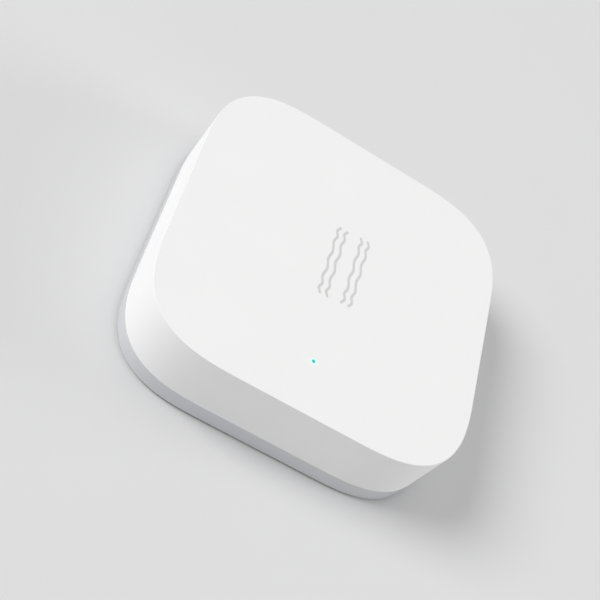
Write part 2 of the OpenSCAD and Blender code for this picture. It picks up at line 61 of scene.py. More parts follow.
# Case: straight sides with superellipse corners, which a bevel profile of 2^(-2/power) follows
CORNER_REACH = 14.4 * MM
CORNER_POWER = 2.95
CORNER_PROFILE = 2 ** (-2 / CORNER_POWER)
CORNER_SEGMENTS = 40
CASE_HALF = shell_high.x
PART_Z = shell_low.z
FACE_Z = shell_high.z
SHELL_WALL = 1.4 * MM
FACE_T = 1.3 * MM
CEILING_Z = FACE_Z - FACE_T
FACE_EDGE_R = 0.06 * MM
PARTING_EDGE_R = 0.05 * MM
CEILING_EDGE_R = 0.4 * MM
IN_HALF = CASE_HALF - SHELL_WALL
IN_REACH = CORNER_REACH - SHELL_WALL

# Base cover: floor, lip, snap beads, opening notch, posts under the cell and the rib round it
BASE_Z = base_low.z
BASE_EDGE_R = 0.12 * MM
FLOOR_T = 1.4 * MM
FLOOR_Z = BASE_Z + FLOOR_T
LIP_TOP = base_high.z
LIP_GAP = 0.15 * MM
LIP_T = 0.9 * MM
LIP_EDGE_R = 0.2 * MM
LIP_HALF = IN_HALF - LIP_GAP
LIP_REACH = IN_REACH - LIP_GAP
WELL_HALF = LIP_HALF - LIP_T
WELL_REACH = LIP_REACH - LIP_T
WELL_EDGE_R = 0.35 * MM
BEAD_L = 3.2 * MM
BEAD_H = 0.6 * MM
BEAD_AT = 5 * MM
BEAD_OUT = 0.12 * MM
BEAD_Z = LIP_TOP - BEAD_H
GROOVE_D = 0.25 * MM
GROOVE_ROOM = 0.3 * MM
NOTCH = Vector((8, 1, 0.8)) * MM
NOTCH_EDGE_R = 0.4 * MM
POST_R = 1.2 * MM
POST_AT = 6 * MM
POST_GAP = 0.1 * MM
POST_TOP = can_low.z - POST_GAP
POST_EDGE_R = 0.25 * MM
CELL_GAP = 0.2 * MM
HOLDER_WALL = 1.3 * MM
RIB_IN = can_high.x + CELL_GAP
RIB_OUT = RIB_IN + HOLDER_WALL
RIB_H = 0.8 * MM
RIB_EDGE_R = 0.15 * MM
EJECTOR_R = 1.25 * MM
EJECTOR_AT = 13.5 * MM
EJECTOR_D = 0.06 * MM
PAD_REACH = 8 * MM
PAD_GAP = 0.2 * MM
PAD_DRAW_IN = 0.08 * MM
PAD_EDGE_R = 0.05 * MM

# Bosses and standoffs in the shell, with the screws and the board that they hold
SCREW_R = 0.7 * MM
SCREW_HEAD_R = 1.4 * MM
PILOT_GAP = 0.02 * MM
PILOT_SPARE = 0.3 * MM
BOSS_R = 1.9 * MM
BOSS_AT = (screws_high.x - screws_low.x) / 2 - SCREW_HEAD_R
HOLDER_DROP = 1.2 * MM
BOSS_BOT = board_low.z - HOLDER_DROP
BOSS_GAP = 0.25 * MM
STANDOFF_R = 1 * MM
STANDOFF_IN = 2.2 * MM
STANDOFF_Y = 11 * MM
STANDOFF_X = board_high.x - STANDOFF_IN

# Light pin, side button and wave mark
GUIDE_R = 0.35 * MM
GUIDE_GAP = 0.03 * MM
GUIDE_AT = (guide_low + guide_high) / 2
GLOW_REACH = 0.75 * MM
BUTTON_R = 1.6 * MM
BUTTON_GAP = 0.08 * MM
BUTTON_AT = (button_low + button_high) / 2
HOLE_CHAMFER = 0.1 * MM
COLLAR_R = (button_high.y - button_low.y) / 2
COLLAR_T = 0.6 * MM
COLLAR_GAP = 0.1 * MM
COLLAR_ROOM = 0.4 * MM
STEM_R = 0.9 * MM
MARK_EDGE_R = 0.02 * MM

# Overlap of solids that are joined, of cuts past the surface, and the distance that counts as one point
ROOT = 0.2 * MM
CUT = 0.5 * MM
MERGE = 0.0001 * MM

# Steps of a full turn, for large and small round shapes
ROUND_STEPS = 96
BUTTON_STEPS = 64
ROD_STEPS = 48
VIA_STEPS = 24

# Angles between faces, in degrees: still one flat face, shaded as one curve, an edge, and a block's edge
FLAT_ANGLE = 0.5
SMOOTH_ANGLE = 35
EDGE_ANGLE = 30
BLOCK_ANGLE = 60


# Materials


def add(tree, kind, inputs=None, **settings):
    """New shader node; an input is a value, or a socket to link from."""
    made = tree.nodes.new(kind)
    for key, value in settings.items():
        setattr(made, key, value)
    for key, value in (inputs or {}).items():
        if isinstance(value, bpy.types.NodeSocket):
            tree.links.new(value, made.inputs[key])
        else:
            made.inputs[key].default_value = value
    return made


def new_finish(name, **sockets):
    """Empty material with one shader; values that are the same all over are set on its sockets."""
    material = bpy.data.materials.new(name)
    material.use_nodes = True
    tree = material.node_tree
    shader = tree.nodes["Principled BSDF"]
    for key, value in sockets.items():
        shader.inputs[key.replace("_", " ")].default_value = value
    place = add(tree, "ShaderNodeTexCoord").outputs["Object"]
    return material, tree, shader, place


def feed(tree, shader, **patterns):
    """Links a pattern to each named socket of the shader."""
    for key, pattern in patterns.items():
        tree.links.new(pattern, shader.inputs[key.replace("_", " ")])


def ramp(tree, factor, *stops):
    """Colour ramp through (position, colour) stops."""
    made = add(tree, "ShaderNodeValToRGB", {"Fac": factor})
    elements = made.color_ramp.elements
    while len(elements) < len(stops):
        elements.new(0.5)
    for element, (position, colour) in zip(elements, stops):
        element.position = position
        element.color = (*colour, 1)
    return made.outputs["Color"]


def scaled(tree, place, scale, location=(0, 0, 0)):
    """Coordinates stretched by a scale for each axis, and then moved."""
    return add(tree, "ShaderNodeMapping", {
        "Vector": place, "Scale": scale, "Location": location,
    }).outputs["Vector"]


def noise(tree, place, size, detail=2.0):
    """Noise whose lumps are about the given size."""
    return add(tree, "ShaderNodeTexNoise", {
        "Vector": place, "Scale": 1 / size, "Detail": detail,
    }).outputs["Fac"]


def spread(tree, value, low, high):
    """Noise, most of which lies from 0.3 to 0.7, drawn out to a range."""
    return add(tree, "ShaderNodeMapRange", {
        "Value": value, "From Min": 0.3, "From Max": 0.7, "To Min": low, "To Max": high,
    }).outputs["Result"]


def bump(tree, shader, height, depth, strength=1.0):
    """Raises the surface by a height from 0 to 1 times the depth."""
    made = add(tree, "ShaderNodeBump", {"Height": height, "Distance": depth, "Strength": strength})
    feed(tree, shader, Normal=made.outputs["Normal"])


def shades(colour, drift):
    """A colour a little darker and a little lighter."""
    return [tuple(min(1, c * (1 + s * drift)) for c in colour) for s in (-1, 1)]


def moulded(name, colour, roughness, grain=0.16 * MM, depth=0.004 * MM, drift=0.012, **sockets):
    """Moulded plastic: fine sparked grain, gloss that varies with it, and a slow drift of tone."""
    cloud_size, gloss_sway = 9 * MM, 0.05
    material, tree, shader, place = new_finish(name, **sockets)
    fine = noise(tree, place, grain, 3)
    slow = noise(tree, place, cloud_size)
    dark, light = shades(colour, drift)
    feed(tree, shader,
         Base_Color=ramp(tree, slow, (0.35, dark), (0.65, light)),
         Roughness=spread(tree, fine, roughness - gloss_sway, roughness + gloss_sway))
    bump(tree, shader, fine, depth)
    return material


def brushed(name, colour, roughness, line=1.2 * MM, drift=0.1):
    """Rolled or brushed metal: long fine scratches along Y over a cloudy tone."""
    stretch, depth, cloud_size = (60, 1, 60), 0.002 * MM, 2 * MM
    smoother, rougher = 0.08, 0.1
    material, tree, shader, place = new_finish(name, Metallic=1.0)
    lines = noise(tree, scaled(tree, place, stretch), line, 3)
    cloud = noise(tree, place, cloud_size)
    dark, light = shades(colour, drift)
    feed(tree, shader,
         Base_Color=ramp(tree, cloud, (0.3, dark), (0.7, light)),
         Roughness=spread(tree, lines, roughness - smoother, roughness + rougher))
    bump(tree, shader, lines, depth)
    return material


def round_gradient(tree, place, centre, radius):
    """1 on an upright axis through the centre, falling to 0 at the radius."""
    flat = scaled(tree, place, (1 / radius, 1 / radius, 0), (-centre.x / radius, -centre.y / radius, 0))
    return add(tree, "ShaderNodeTexGradient", {"Vector": flat}, gradient_type="SPHERICAL").outputs["Fac"]


def shell_material_with_glow():
    """Matte white plastic, with the status light's cyan glow painted onto it close round the light pin.
    """
    material = moulded("white_plastic_and_glow", (0.885, 0.885, 0.883), 0.5, drift=0.005, Emission_Strength=1.0)
    tree = material.node_tree
    place = tree.nodes["Texture Coordinate"].outputs["Object"]
    # Painted glow: emission that stands in for the status light spilling onto the white plastic round the
    # pin
    near = round_gradient(tree, place, GUIDE_AT, GLOW_REACH)
    glow = ramp(tree, near, (0.0, (0, 0, 0)), (0.3, (0, 0.02, 0.02)), (0.6, (0, 0.12, 0.11)))
    feed(tree, tree.nodes["Principled BSDF"], Emission_Color=glow)
    return material


def guide_finish():
    """Clear pin lit from below: a teal core in a pale cyan ring."""
    material, tree, shader, place = new_finish(
        "lit_guide", Roughness=0.15, Base_Color=(0.02, 0.1, 0.09, 1), Emission_Strength=1.0)
    near = round_gradient(tree, place, GUIDE_AT, GUIDE_R)
    glow = ramp(tree, near, (0.0, (0.68, 1.0, 0.97)), (0.26, (0.45, 0.96, 0.88)),
                (0.44, (0.03, 0.44, 0.33)), (1.0, (0.02, 0.40, 0.30)))
    feed(tree, shader, Emission_Color=glow)
    bump(tree, shader, noise(tree, place, 0.1 * MM), 0.001 * MM)
    return material


def foam_finish():
    """Closed-cell foam tape: small pores over an off-white body."""
    pore = 0.22 * MM
    material, tree, shader, place = new_finish("pad_foam", Roughness=0.85)
    cells = add(tree, "ShaderNodeTexVoronoi", {"Vector": place, "Scale": 1 / pore}).outputs["Distance"]
    body = ramp(tree, cells, (0.1, (0.62, 0.62, 0.6)), (0.6, (0.78, 0.78, 0.75)))
    feed(tree, shader, Base_Color=body)
    bump(tree, shader, cells, 0.03 * MM, 0.6)
    return material


def lacquer_finish(name, colour):
    """Green lacquer, with the weave of the glass cloth faintly in its gloss and its surface."""
    cloud_size, thread, cloth = 5 * MM, 0.4 * MM, (1, 3, 1)
    material, tree, shader, place = new_finish(name, Coat_Weight=0.3, Coat_Roughness=0.1)
    cloud = noise(tree, place, cloud_size)
    weave = noise(tree, scaled(tree, place, cloth), thread)
    dark, light = shades(colour, 0.12)
    feed(tree, shader,
         Base_Color=ramp(tree, cloud, (0.35, dark), (0.65, light)),
         Roughness=spread(tree, weave, 0.3, 0.42))
    bump(tree, shader, weave, 0.003 * MM)
    return material


WHITE = shell_material_with_glow()
BUTTON_WHITE = moulded("button_plastic", (0.875, 0.875, 0.87), 0.42)
BASE_GREY = moulded("base_plastic", (0.59, 0.605, 0.63), 0.2, depth=0.001 * MM,
                    Coat_Weight=0.8, Coat_Roughness=0.05)
MARK_GREY = moulded("mark_ink", (0.655, 0.655, 0.655), 0.55, grain=0.08 * MM)
GUIDE = guide_finish()
FOAM = foam_finish()
MASK = lacquer_finish("solder_mask", (0.013, 0.105, 0.042))
TRACK = lacquer_finish("mask_over_copper", (0.035, 0.215, 0.09))
INK = moulded("board_ink", (0.78, 0.78, 0.76), 0.6, grain=0.05 * MM)
LAMINATE = moulded("board_edge", (0.42, 0.4, 0.2), 0.7, grain=0.1 * MM, depth=0.02 * MM, drift=0.15)
BLACK = moulded("holder_plastic", (0.022, 0.022, 0.024), 0.5, drift=0.2)
EPOXY = moulded("chip_epoxy", (0.012, 0.012, 0.013), 0.6, grain=0.05 * MM, depth=0.006 * MM, drift=0.2)
IVORY = moulded("plunger_plastic", (0.74, 0.68, 0.5), 0.4)
RUBBER = moulded("gasket_rubber", (0.03, 0.03, 0.032), 0.7, drift=0.2)
ELECTRODE = moulded("electrode_stack", (0.012, 0.012, 0.012), 0.8, depth=0.02 * MM, drift=0.3)
CERAMIC_BLUE = moulded("antenna_ceramic", (0.26, 0.43, 0.57), 0.3, grain=0.08 * MM)
CERAMIC_TAN = moulded("capacitor_ceramic", (0.36, 0.22, 0.11), 0.35, grain=0.08 * MM, drift=0.08)
CERAMIC_WHITE = moulded("resistor_ceramic", (0.75, 0.75, 0.73), 0.45, grain=0.06 * MM)
GLAZE = moulded("resistor_glaze", (0.015, 0.015, 0.017), 0.3, grain=0.06 * MM, drift=0.2)
YELLOW = moulded("bulk_epoxy", (0.63, 0.33, 0.03), 0.45, grain=0.06 * MM, drift=0.05)
BROWN = moulded("bulk_band", (0.14, 0.05, 0.012), 0.45, grain=0.06 * MM, drift=0.05)
RESIN = moulded("lamp_resin", (0.75, 0.82, 0.78), 0.12, Transmission_Weight=0.3)
NICKEL = brushed("cell_nickel", (0.62, 0.61, 0.59), 0.3, drift=0.025)
ZINC = brushed("screw_zinc", (0.55, 0.56, 0.57), 0.32, line=0.8 * MM)
STAINLESS = brushed("switch_steel", (0.58, 0.58, 0.58), 0.28, line=0.8 * MM)
TIN = brushed("tinned_end", (0.66, 0.66, 0.64), 0.35, line=0.5 * MM)
GOLD = brushed("contact_gold", (0.78, 0.55, 0.22), 0.25, line=0.8 * MM)
LID_GOLD = brushed("crystal_lid", (0.66, 0.56, 0.34), 0.28, line=0.5 * MM)


# Making solids


def points_in(geometry):
    """The vertices among what an operator gives back."""
    return [g for g in geometry if isinstance(g, bmesh.types.BMVert)]


def thickened(bm, rise):
    """Flat sheet drawn up, or down where the rise is negative, into a closed solid."""
    risen = bmesh.ops.extrude_face_region(bm, geom=bm.faces[:], use_keep_orig=True)["geom"]
    bmesh.ops.translate(bm, vec=(0, 0, rise), verts=points_in(risen))
    bmesh.ops.recalc_face_normals(bm, faces=bm.faces)
    return bm


def soft_block(half, reach, low, high):
    """Upright solid over a square with the case's soft corners."""
    bm = bmesh.new()
    bmesh.ops.create_grid(bm, x_segments=1, y_segments=1, size=half)
    bmesh.ops.bevel(bm, geom=bm.verts[:], offset=reach, affect="VERTICES", segments=CORNER_SEGMENTS,
                    profile=CORNER_PROFILE, material=-1)
    bmesh.ops.translate(bm, vec=(0, 0, low), verts=bm.verts)
    return thickened(bm, high - low)


def block(low, high):
    """Box between two corners."""
    bm = bmesh.new()
    bmesh.ops.create_cube(bm, size=1)
    bmesh.ops.scale(bm, vec=Vector(high) - Vector(low), verts=bm.verts)
    bmesh.ops.translate(bm, vec=(Vector(low) + Vector(high)) / 2, verts=bm.verts)
    return bm


def quarter_turned(bm, quarters, axis="Z"):
    """Turns a solid about an axis through the origin."""
    turn = Matrix.Rotation(quarters * math.pi / 2, 3, axis)
    bmesh.ops.rotate(bm, cent=(0, 0, 0), matrix=turn, verts=bm.verts)
    return bm


def turned(profile, centre=(0, 0, 0), along="Z", steps=ROUND_STEPS):
    """Closed round solid through (radius, height) points.
    They start and end on the axis, or else they make a ring."""
    bm = bmesh.new()
    points = [bm.verts.new((r, 0, z)) for r, z in profile]
    pairs = list(zip(points, points[1:]))
    if profile[0][0] > 0:
        pairs.append((points[-1], points[0]))
    lines = [bm.edges.new(pair) for pair in pairs]
    bmesh.ops.spin(bm, geom=points + lines, cent=(0, 0, 0), axis=(0, 0, 1), angle=math.tau, steps=steps,
                   use_merge=True)
    bmesh.ops.remove_doubles(bm, verts=bm.verts, dist=MERGE)
    bmesh.ops.recalc_face_normals(bm, faces=bm.faces)
    if along == "X":
        quarter_turned(bm, 1, "Y")
    bmesh.ops.translate(bm, vec=centre, verts=bm.verts)
    return bm


def rod(radius, low, high, x=0.0, y=0.0):
    """Upright round bar."""
    return turned([(0, low), (radius, low), (radius, high), (0, high)], (x, y, 0), steps=ROD_STEPS)


def sliced(bm, point, normal):
    """Cuts new edges into a solid along a plane, and gives back the points on them."""
    everything = bm.verts[:] + bm.edges[:] + bm.faces[:]
    cut = bmesh.ops.bisect_plane(bm, geom=everything, plane_co=point, plane_no=normal)
    return points_in(cut["geom_cut"])


def sharp_edges(bm, degrees=EDGE_ANGLE):
    """Edges where two faces meet at more than an angle."""
    limit = math.radians(degrees)
    return [e for e in bm.edges if e.is_manifold and e.calc_face_angle() > limit]


def at_level(bm, z):
    """Sharp edges that lie on one level."""
    return [e for e in sharp_edges(bm) if all(abs(v.co.z - z) < MERGE for v in e.verts)]


def rounded(bm, edges, radius, segments):
    """Rounds edges of a solid."""
    bmesh.ops.bevel(bm, geom=edges, offset=radius, affect="EDGES", segments=segments, profile=0.5,
                    clamp_overlap=True, material=-1)
    return bm


def rounded_block(bm, radius, segments):
    """Rounds all edges of a block."""
    return rounded(bm, sharp_edges(bm, BLOCK_ANGLE), radius, segments)


def coloured(bm, index):
    """Gives all faces of a solid one of its piece's materials."""
    for face in bm.faces:
        face.material_index = index
    return bm


def gathered(*solids):
    """Several solids as one mesh; the originals are used up."""
    whole = bmesh.new()
    for solid in solids:
        mesh = bpy.data.meshes.new("gathered")
        solid.to_mesh(mesh)
        solid.free()
        whole.from_mesh(mesh)
        bpy.data.meshes.remove(mesh)
    return whole


def loose_object(bm):
    """Object for a moment's work, linked to the scene."""
    mesh = bpy.data.meshes.new("loose")
    bm.to_mesh(mesh)
    bm.free()
    made = bpy.data.objects.new("loose", mesh)
    scene.collection.objects.link(made)
    return made


def combined(start, *steps):
    """Adds and cuts solids in turn. Each step is (operation, solid), and the solids are used up."""
    target = loose_object(start)
    used = [target]
    for operation, solid in steps:
        used.append(loose_object(solid))
        change = target.modifiers.new(operation, "BOOLEAN")
        change.operation = operation
        change.solver = "MANIFOLD"
        change.object = used[-1]
    result = bmesh.new()
    result.from_object(target, bpy.context.evaluated_depsgraph_get())
    bmesh.ops.remove_doubles(result, verts=result.verts, dist=MERGE)
    bmesh.ops.dissolve_degenerate(result, edges=result.edges, dist=MERGE)
    for made in used:
        bpy.data.meshes.remove(made.data)
    return result


def merged_copy(node):
    """Copy of a CAD node's mesh with its triangles joined and its flat faces whole."""
    bm = bmesh.new()
    bm.from_mesh(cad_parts[node].data)
    bmesh.ops.remove_doubles(bm, verts=bm.verts, dist=MERGE)
    bmesh.ops.dissolve_limit(bm, angle_limit=math.radians(FLAT_ANGLE), verts=bm.verts, edges=bm.edges)
    return bm


def softened(node, radius):
    """Copy of a CAD node whose sharp edges are rounded a little."""
    bm = merged_copy(node)
    return rounded(bm, sharp_edges(bm), radius, 2)


def islands(node):
    """Lowest and highest corner of each separate solid in a CAD node."""
    bm = merged_copy(node)
    left = set(bm.verts)
    found = []
    while left:
        group = {left.pop()}
        edge_of_group = set(group)
        while edge_of_group:
            beside = {e.other_vert(v) for v in edge_of_group for e in v.link_edges}
            edge_of_group = beside & left
            group |= edge_of_group
            left -= edge_of_group
        corners = [[f(v.co[axis] for v in group) for axis in range(3)] for f in (min, max)]
        found.append((Vector(corners[0]), Vector(corners[1])))
    bm.free()
    return sorted(found, key=lambda pair: tuple(pair[0]))


def piece(name, bm, materials, body, node, smooth=SMOOTH_ANGLE):
    """Finished piece of the tag that rides on a body and stands for a CAD node."""
    mesh = bpy.data.meshes.new(name)
    bm.to_mesh(mesh)
    bm.free()
    for material in materials:
        mesh.materials.append(material)
    mesh.polygons.foreach_set("use_smooth", [True] * len(mesh.polygons))
    mesh.set_sharp_from_angle(angle=math.radians(smooth))
    made = bpy.data.objects.new(name, mesh)
    scene.collection.objects.link(made)
    flat = made.modifiers.new("flat faces stay flat", "WEIGHTED_NORMAL")
    flat.keep_sharp = True
    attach(made, body)
    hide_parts(node)
    return made


def on_corners(x, y):
    """A place in one corner, mirrored to all four."""
    return [(sx * x, sy * y) for sx in (-1, 1) for sy in (-1, 1)]


def on_sides(low, high, pull=0.0):
    """Blocks along the four sides, left and right of each middle, from one block against the +X side.
    A pull draws the top and bottom of the outer face in, and leaves a ridge between them."""
    made = []
    for quarter in range(4):
        for side in (-1, 1):
            solid = block(low, high)
            if pull:
                ridge = sliced(solid, (Vector(low) + Vector(high)) / 2, (0, 0, 1))
                outer = [v for v in solid.verts if v.co.x > high[0] - MERGE and v not in ridge]
                bmesh.ops.translate(solid, vec=(-pull, 0, 0), verts=outer)
            bmesh.ops.translate(solid, vec=(0, side * BEAD_AT, 0), verts=solid.verts)
            made.append(quarter_turned(solid, quarter))
    return gathered(*made)


# The white front shell


def front_shell():
    """Hollow shell with bosses and standoffs, cut for its screws, light, button, beads and mark."""
    outside = soft_block(CASE_HALF, CORNER_REACH, PART_Z, FACE_Z)
    rounded(outside, at_level(outside, FACE_Z), FACE_EDGE_R, 4)
    rounded(outside, at_level(outside, PART_Z), PARTING_EDGE_R, 2)
    hollow = soft_block(IN_HALF, IN_REACH, PART_Z - CUT, CEILING_Z)
    rounded(hollow, at_level(hollow, CEILING_Z), CEILING_EDGE_R, 4)

    boss_places = on_corners(BOSS_AT, BOSS_AT)
    standoff_places = on_corners(STANDOFF_X, STANDOFF_Y)
    bosses = [rod(BOSS_R, BOSS_BOT, CEILING_Z + ROOT, x, y) for x, y in boss_places]
    standoffs = [rod(STANDOFF_R, board_high.z, CEILING_Z + ROOT, x, y) for x, y in standoff_places]

    pilot_top = screws_high.z + PILOT_SPARE
    pilots = [rod(SCREW_R + PILOT_GAP, BOSS_BOT - CUT, pilot_top, x, y) for x, y in boss_places]
    lamp_hole = rod(GUIDE_R + GUIDE_GAP, CEILING_Z - CUT, FACE_Z + CUT, GUIDE_AT.x, GUIDE_AT.y)
    hole_r = BUTTON_R + BUTTON_GAP
    button_hole = turned([
        (0, IN_HALF - CUT), (hole_r, IN_HALF - CUT), (hole_r, CASE_HALF - HOLE_CHAMFER),
        (hole_r + HOLE_CHAMFER + CUT, CASE_HALF + CUT), (0, CASE_HALF + CUT),
    ], (0, BUTTON_AT.y, BUTTON_AT.z), "X")
    bead_grooves = on_sides(
        (IN_HALF - CUT, -(BEAD_L + GROOVE_ROOM) / 2, BEAD_Z - GROOVE_ROOM),
        (IN_HALF + GROOVE_D, (BEAD_L + GROOVE_ROOM) / 2, BEAD_Z + BEAD_H + GROOVE_ROOM),
    )
    mark_groove = merged_copy("vibration_mark")
    raised = [v for v in mark_groove.verts if v.co.z > FACE_Z - MERGE]
    bmesh.ops.translate(mark_groove, vec=(0, 0, CUT), verts=raised)

    shell = combined(
        outside,
        ("DIFFERENCE", hollow),
        ("UNION", gathered(*bosses, *standoffs)),
        ("DIFFERENCE", gathered(*pilots, lamp_hole, button_hole, bead_grooves, mark_groove)),
    )
    piece("white_shell", shell, [WHITE], "sensor", "front_shell")


def wave_mark():
    """Grey inlay, level with the face, with a hairline edge."""
    strokes = softened("vibration_mark", MARK_EDGE_R)
    piece("wave_mark", strokes, [MARK_GREY], "sensor", "vibration_mark")


def light_pin():
    """Clear pin from its flange on the ceiling to a faintly domed tip in the face."""
    flange_r = (guide_high.x - guide_low.x) / 2
    shoulder, dome, dome_in = 0.04 * MM, 0.01 * MM, 0.06 * MM
    pin = turned([
        (0, guide_low.z), (flange_r, guide_low.z), (flange_r, CEILING_Z), (GUIDE_R, CEILING_Z),
        (GUIDE_R, FACE_Z - shoulder), (GUIDE_R - dome_in, FACE_Z - dome), (0, FACE_Z),
    ], (GUIDE_AT.x, GUIDE_AT.y, 0), steps=ROD_STEPS)
    piece("light_pin", pin, [GUIDE], "sensor", "light_guide")


def side_button():
    """Round button with a soft rim and a shallow finger dish, a collar that stops it, and its stem."""
    back, front = button_low.x, button_high.x
    collar_front = IN_HALF - COLLAR_GAP
    collar_back = collar_front - COLLAR_T
    edge_r, edge_in, edge_down = 0.12 * MM, 0.04 * MM, 0.03 * MM
    rim, dish = 0.3 * MM, 0.08 * MM
    slope_in, slope_down = 2.2 * rim, 0.7 * dish
    solid = turned([
        (0, back), (STEM_R, back), (STEM_R, collar_back), (COLLAR_R, collar_back),
        (COLLAR_R, collar_front), (BUTTON_R, collar_front), (BUTTON_R, front - edge_r),
        (BUTTON_R - edge_in, front - edge_down), (BUTTON_R - edge_r, front),
        (BUTTON_R - rim, front), (BUTTON_R - slope_in, front - slope_down), (0, front - dish),
    ], (0, BUTTON_AT.y, BUTTON_AT.z), "X", BUTTON_STEPS)
    piece("side_button", solid, [BUTTON_WHITE], "button", "reset_button")


# The grey base cover and its pad


def base_cover():
    """Shallow tray with a snap lip, a recess for the pad below and supports for the cell above."""
    outside = soft_block(CASE_HALF, CORNER_REACH, BASE_Z, PART_Z)
    rounded(outside, at_level(outside, BASE_Z), BASE_EDGE_R, 5)
    rounded(outside, at_level(outside, PART_Z), PARTING_EDGE_R, 2)
    lip = soft_block(LIP_HALF, LIP_REACH, PART_Z - ROOT, LIP_TOP)
    rounded(lip, at_level(lip, LIP_TOP), LIP_EDGE_R, 3)
    beads = on_sides(
        (LIP_HALF - ROOT, -BEAD_L / 2, BEAD_Z), (LIP_HALF + BEAD_OUT, BEAD_L / 2, LIP_TOP), BEAD_OUT)

    well = soft_block(WELL_HALF, WELL_REACH, FLOOR_Z, LIP_TOP + CUT)
    rounded(well, at_level(well, FLOOR_Z), WELL_EDGE_R, 4)
    recess = soft_block(pad_high.x + PAD_GAP, PAD_REACH + PAD_GAP, BASE_Z - CUT, pad_high.z)
    ejectors = [rod(EJECTOR_R, FLOOR_Z - EJECTOR_D, FLOOR_Z + CUT, x, y)
                for x, y in on_corners(EJECTOR_AT, EJECTOR_AT)]
    relief_half = COLLAR_R + COLLAR_ROOM
    relief = block((WELL_HALF - CUT, -relief_half, PART_Z), (CASE_HALF, relief_half, LIP_TOP + CUT))
    notch = block((-NOTCH.x / 2, CASE_HALF - NOTCH.y, PART_Z - NOTCH.z),
                  (NOTCH.x / 2, CASE_HALF + CUT, PART_Z + CUT))
    floor_sides = [e for e in notch.edges if abs(e.verts[0].co.y - e.verts[1].co.y) > MERGE
                   and all(v.co.z < PART_Z for v in e.verts)]
    rounded(notch, floor_sides, NOTCH_EDGE_R, 4)

    posts = []
    for k in range(3):
        angle = math.radians(90 + 120 * k)
        post = rod(POST_R, FLOOR_Z - ROOT, POST_TOP, POST_AT * math.cos(angle), POST_AT * math.sin(angle))
        posts.append(rounded(post, at_level(post, POST_TOP), POST_EDGE_R, 3))
    rib_root, rib_top = FLOOR_Z - ROOT, FLOOR_Z + RIB_H
    rib = turned([(RIB_IN, rib_root), (RIB_OUT, rib_root), (RIB_OUT, rib_top), (RIB_IN, rib_top)])
    rounded(rib, at_level(rib, rib_top), RIB_EDGE_R, 2)

    cover = combined(
        outside,
        ("UNION", lip),
        ("UNION", beads),
        ("DIFFERENCE", gathered(well, recess)),
        ("DIFFERENCE", gathered(relief, notch, *ejectors)),
        ("UNION", gathered(rib, *posts)),
    )
    piece("grey_base", cover, [BASE_GREY], "base", "base_cover")


def adhesive_pad():
    """Die-cut foam pad: flat faces, with sides that draw in a little between them."""
    solid = soft_block(pad_high.x, PAD_REACH, pad_low.z, pad_high.z)
    walls = [e for e in solid.edges if abs(e.verts[0].co.z - e.verts[1].co.z) > MERGE]
    bmesh.ops.subdivide_edges(solid, edges=walls, cuts=3)
    middle = (pad_low.z + pad_high.z) / 2
    for v in solid.verts:
        if abs(v.co.z - middle) < MERGE:
            v.co.xy *= 1 - PAD_DRAW_IN / pad_high.x
    for level in (pad_low.z, pad_high.z):
        rounded(solid, at_level(solid, level), PAD_EDGE_R, 2)
    made = piece("foam_pad", solid, [FOAM], "base", "adhesive_pad", smooth=50)


# The coin cell


def coin_cell():
    """Nickel can with a crimped rim and a stamped plus sign, its dished cap, and the seal between."""
    low, rim_z, high = can_low.z, can_high.z, cap_high.z
    can_r, cap_r = can_high.x, cap_high.x
    sheet = 0.28 * MM
    foot_r, foot_mid = 0.4 * MM, 0.12 * MM
    crimp_in, crimp_h, crimp_mid = 0.7 * MM, 0.35 * MM, 0.1 * MM
    crimp_r = can_r - crimp_in
    can = turned([
        (0, low), (can_r - foot_r, low), (can_r - foot_mid, low + foot_mid), (can_r, low + foot_r),
        (can_r, rim_z - crimp_h), (can_r - crimp_mid, rim_z - crimp_mid), (can_r - crimp_h, rim_z),
        (crimp_r, rim_z), (crimp_r, rim_z - sheet), (can_r - sheet, rim_z - crimp_h - sheet),
        (can_r - sheet, low + sheet), (0, low + sheet),
    ])
    arm, width, deep = 2 * MM, 0.4 * MM, 0.06 * MM
    plus = [block((-a, -b, low - CUT), (a, b, low + deep)) for a, b in ((arm, width), (width, arm))]
    can = combined(can, *[("DIFFERENCE", bar) for bar in plus])
    piece("cell_can_shell", can, [NICKEL], "cell", "cell_can")

    skirt_up, edge_mid = 0.6 * MM, 0.08 * MM
    rim_in, dish_in, dish = 0.9 * MM, 1.0 * MM, 0.04 * MM
    skirt = low + skirt_up
    cap = turned([
        (0, high - sheet), (cap_r - sheet, high - sheet), (cap_r - sheet, skirt), (cap_r, skirt),
        (cap_r, high - sheet), (cap_r - edge_mid, high - edge_mid), (cap_r - sheet, high),
        (cap_r - rim_in, high), (cap_r - dish_in, high - dish), (0, high - dish),
    ])
    piece("cell_cap_dish", cap, [NICKEL], "cell", "cell_cap")
    seal_edge_r = 0.04 * MM
    seal = softened("cell_gasket", seal_edge_r)
    piece("cell_seal", seal, [RUBBER], "cell", "cell_gasket")


# The circuit board and what stands on it


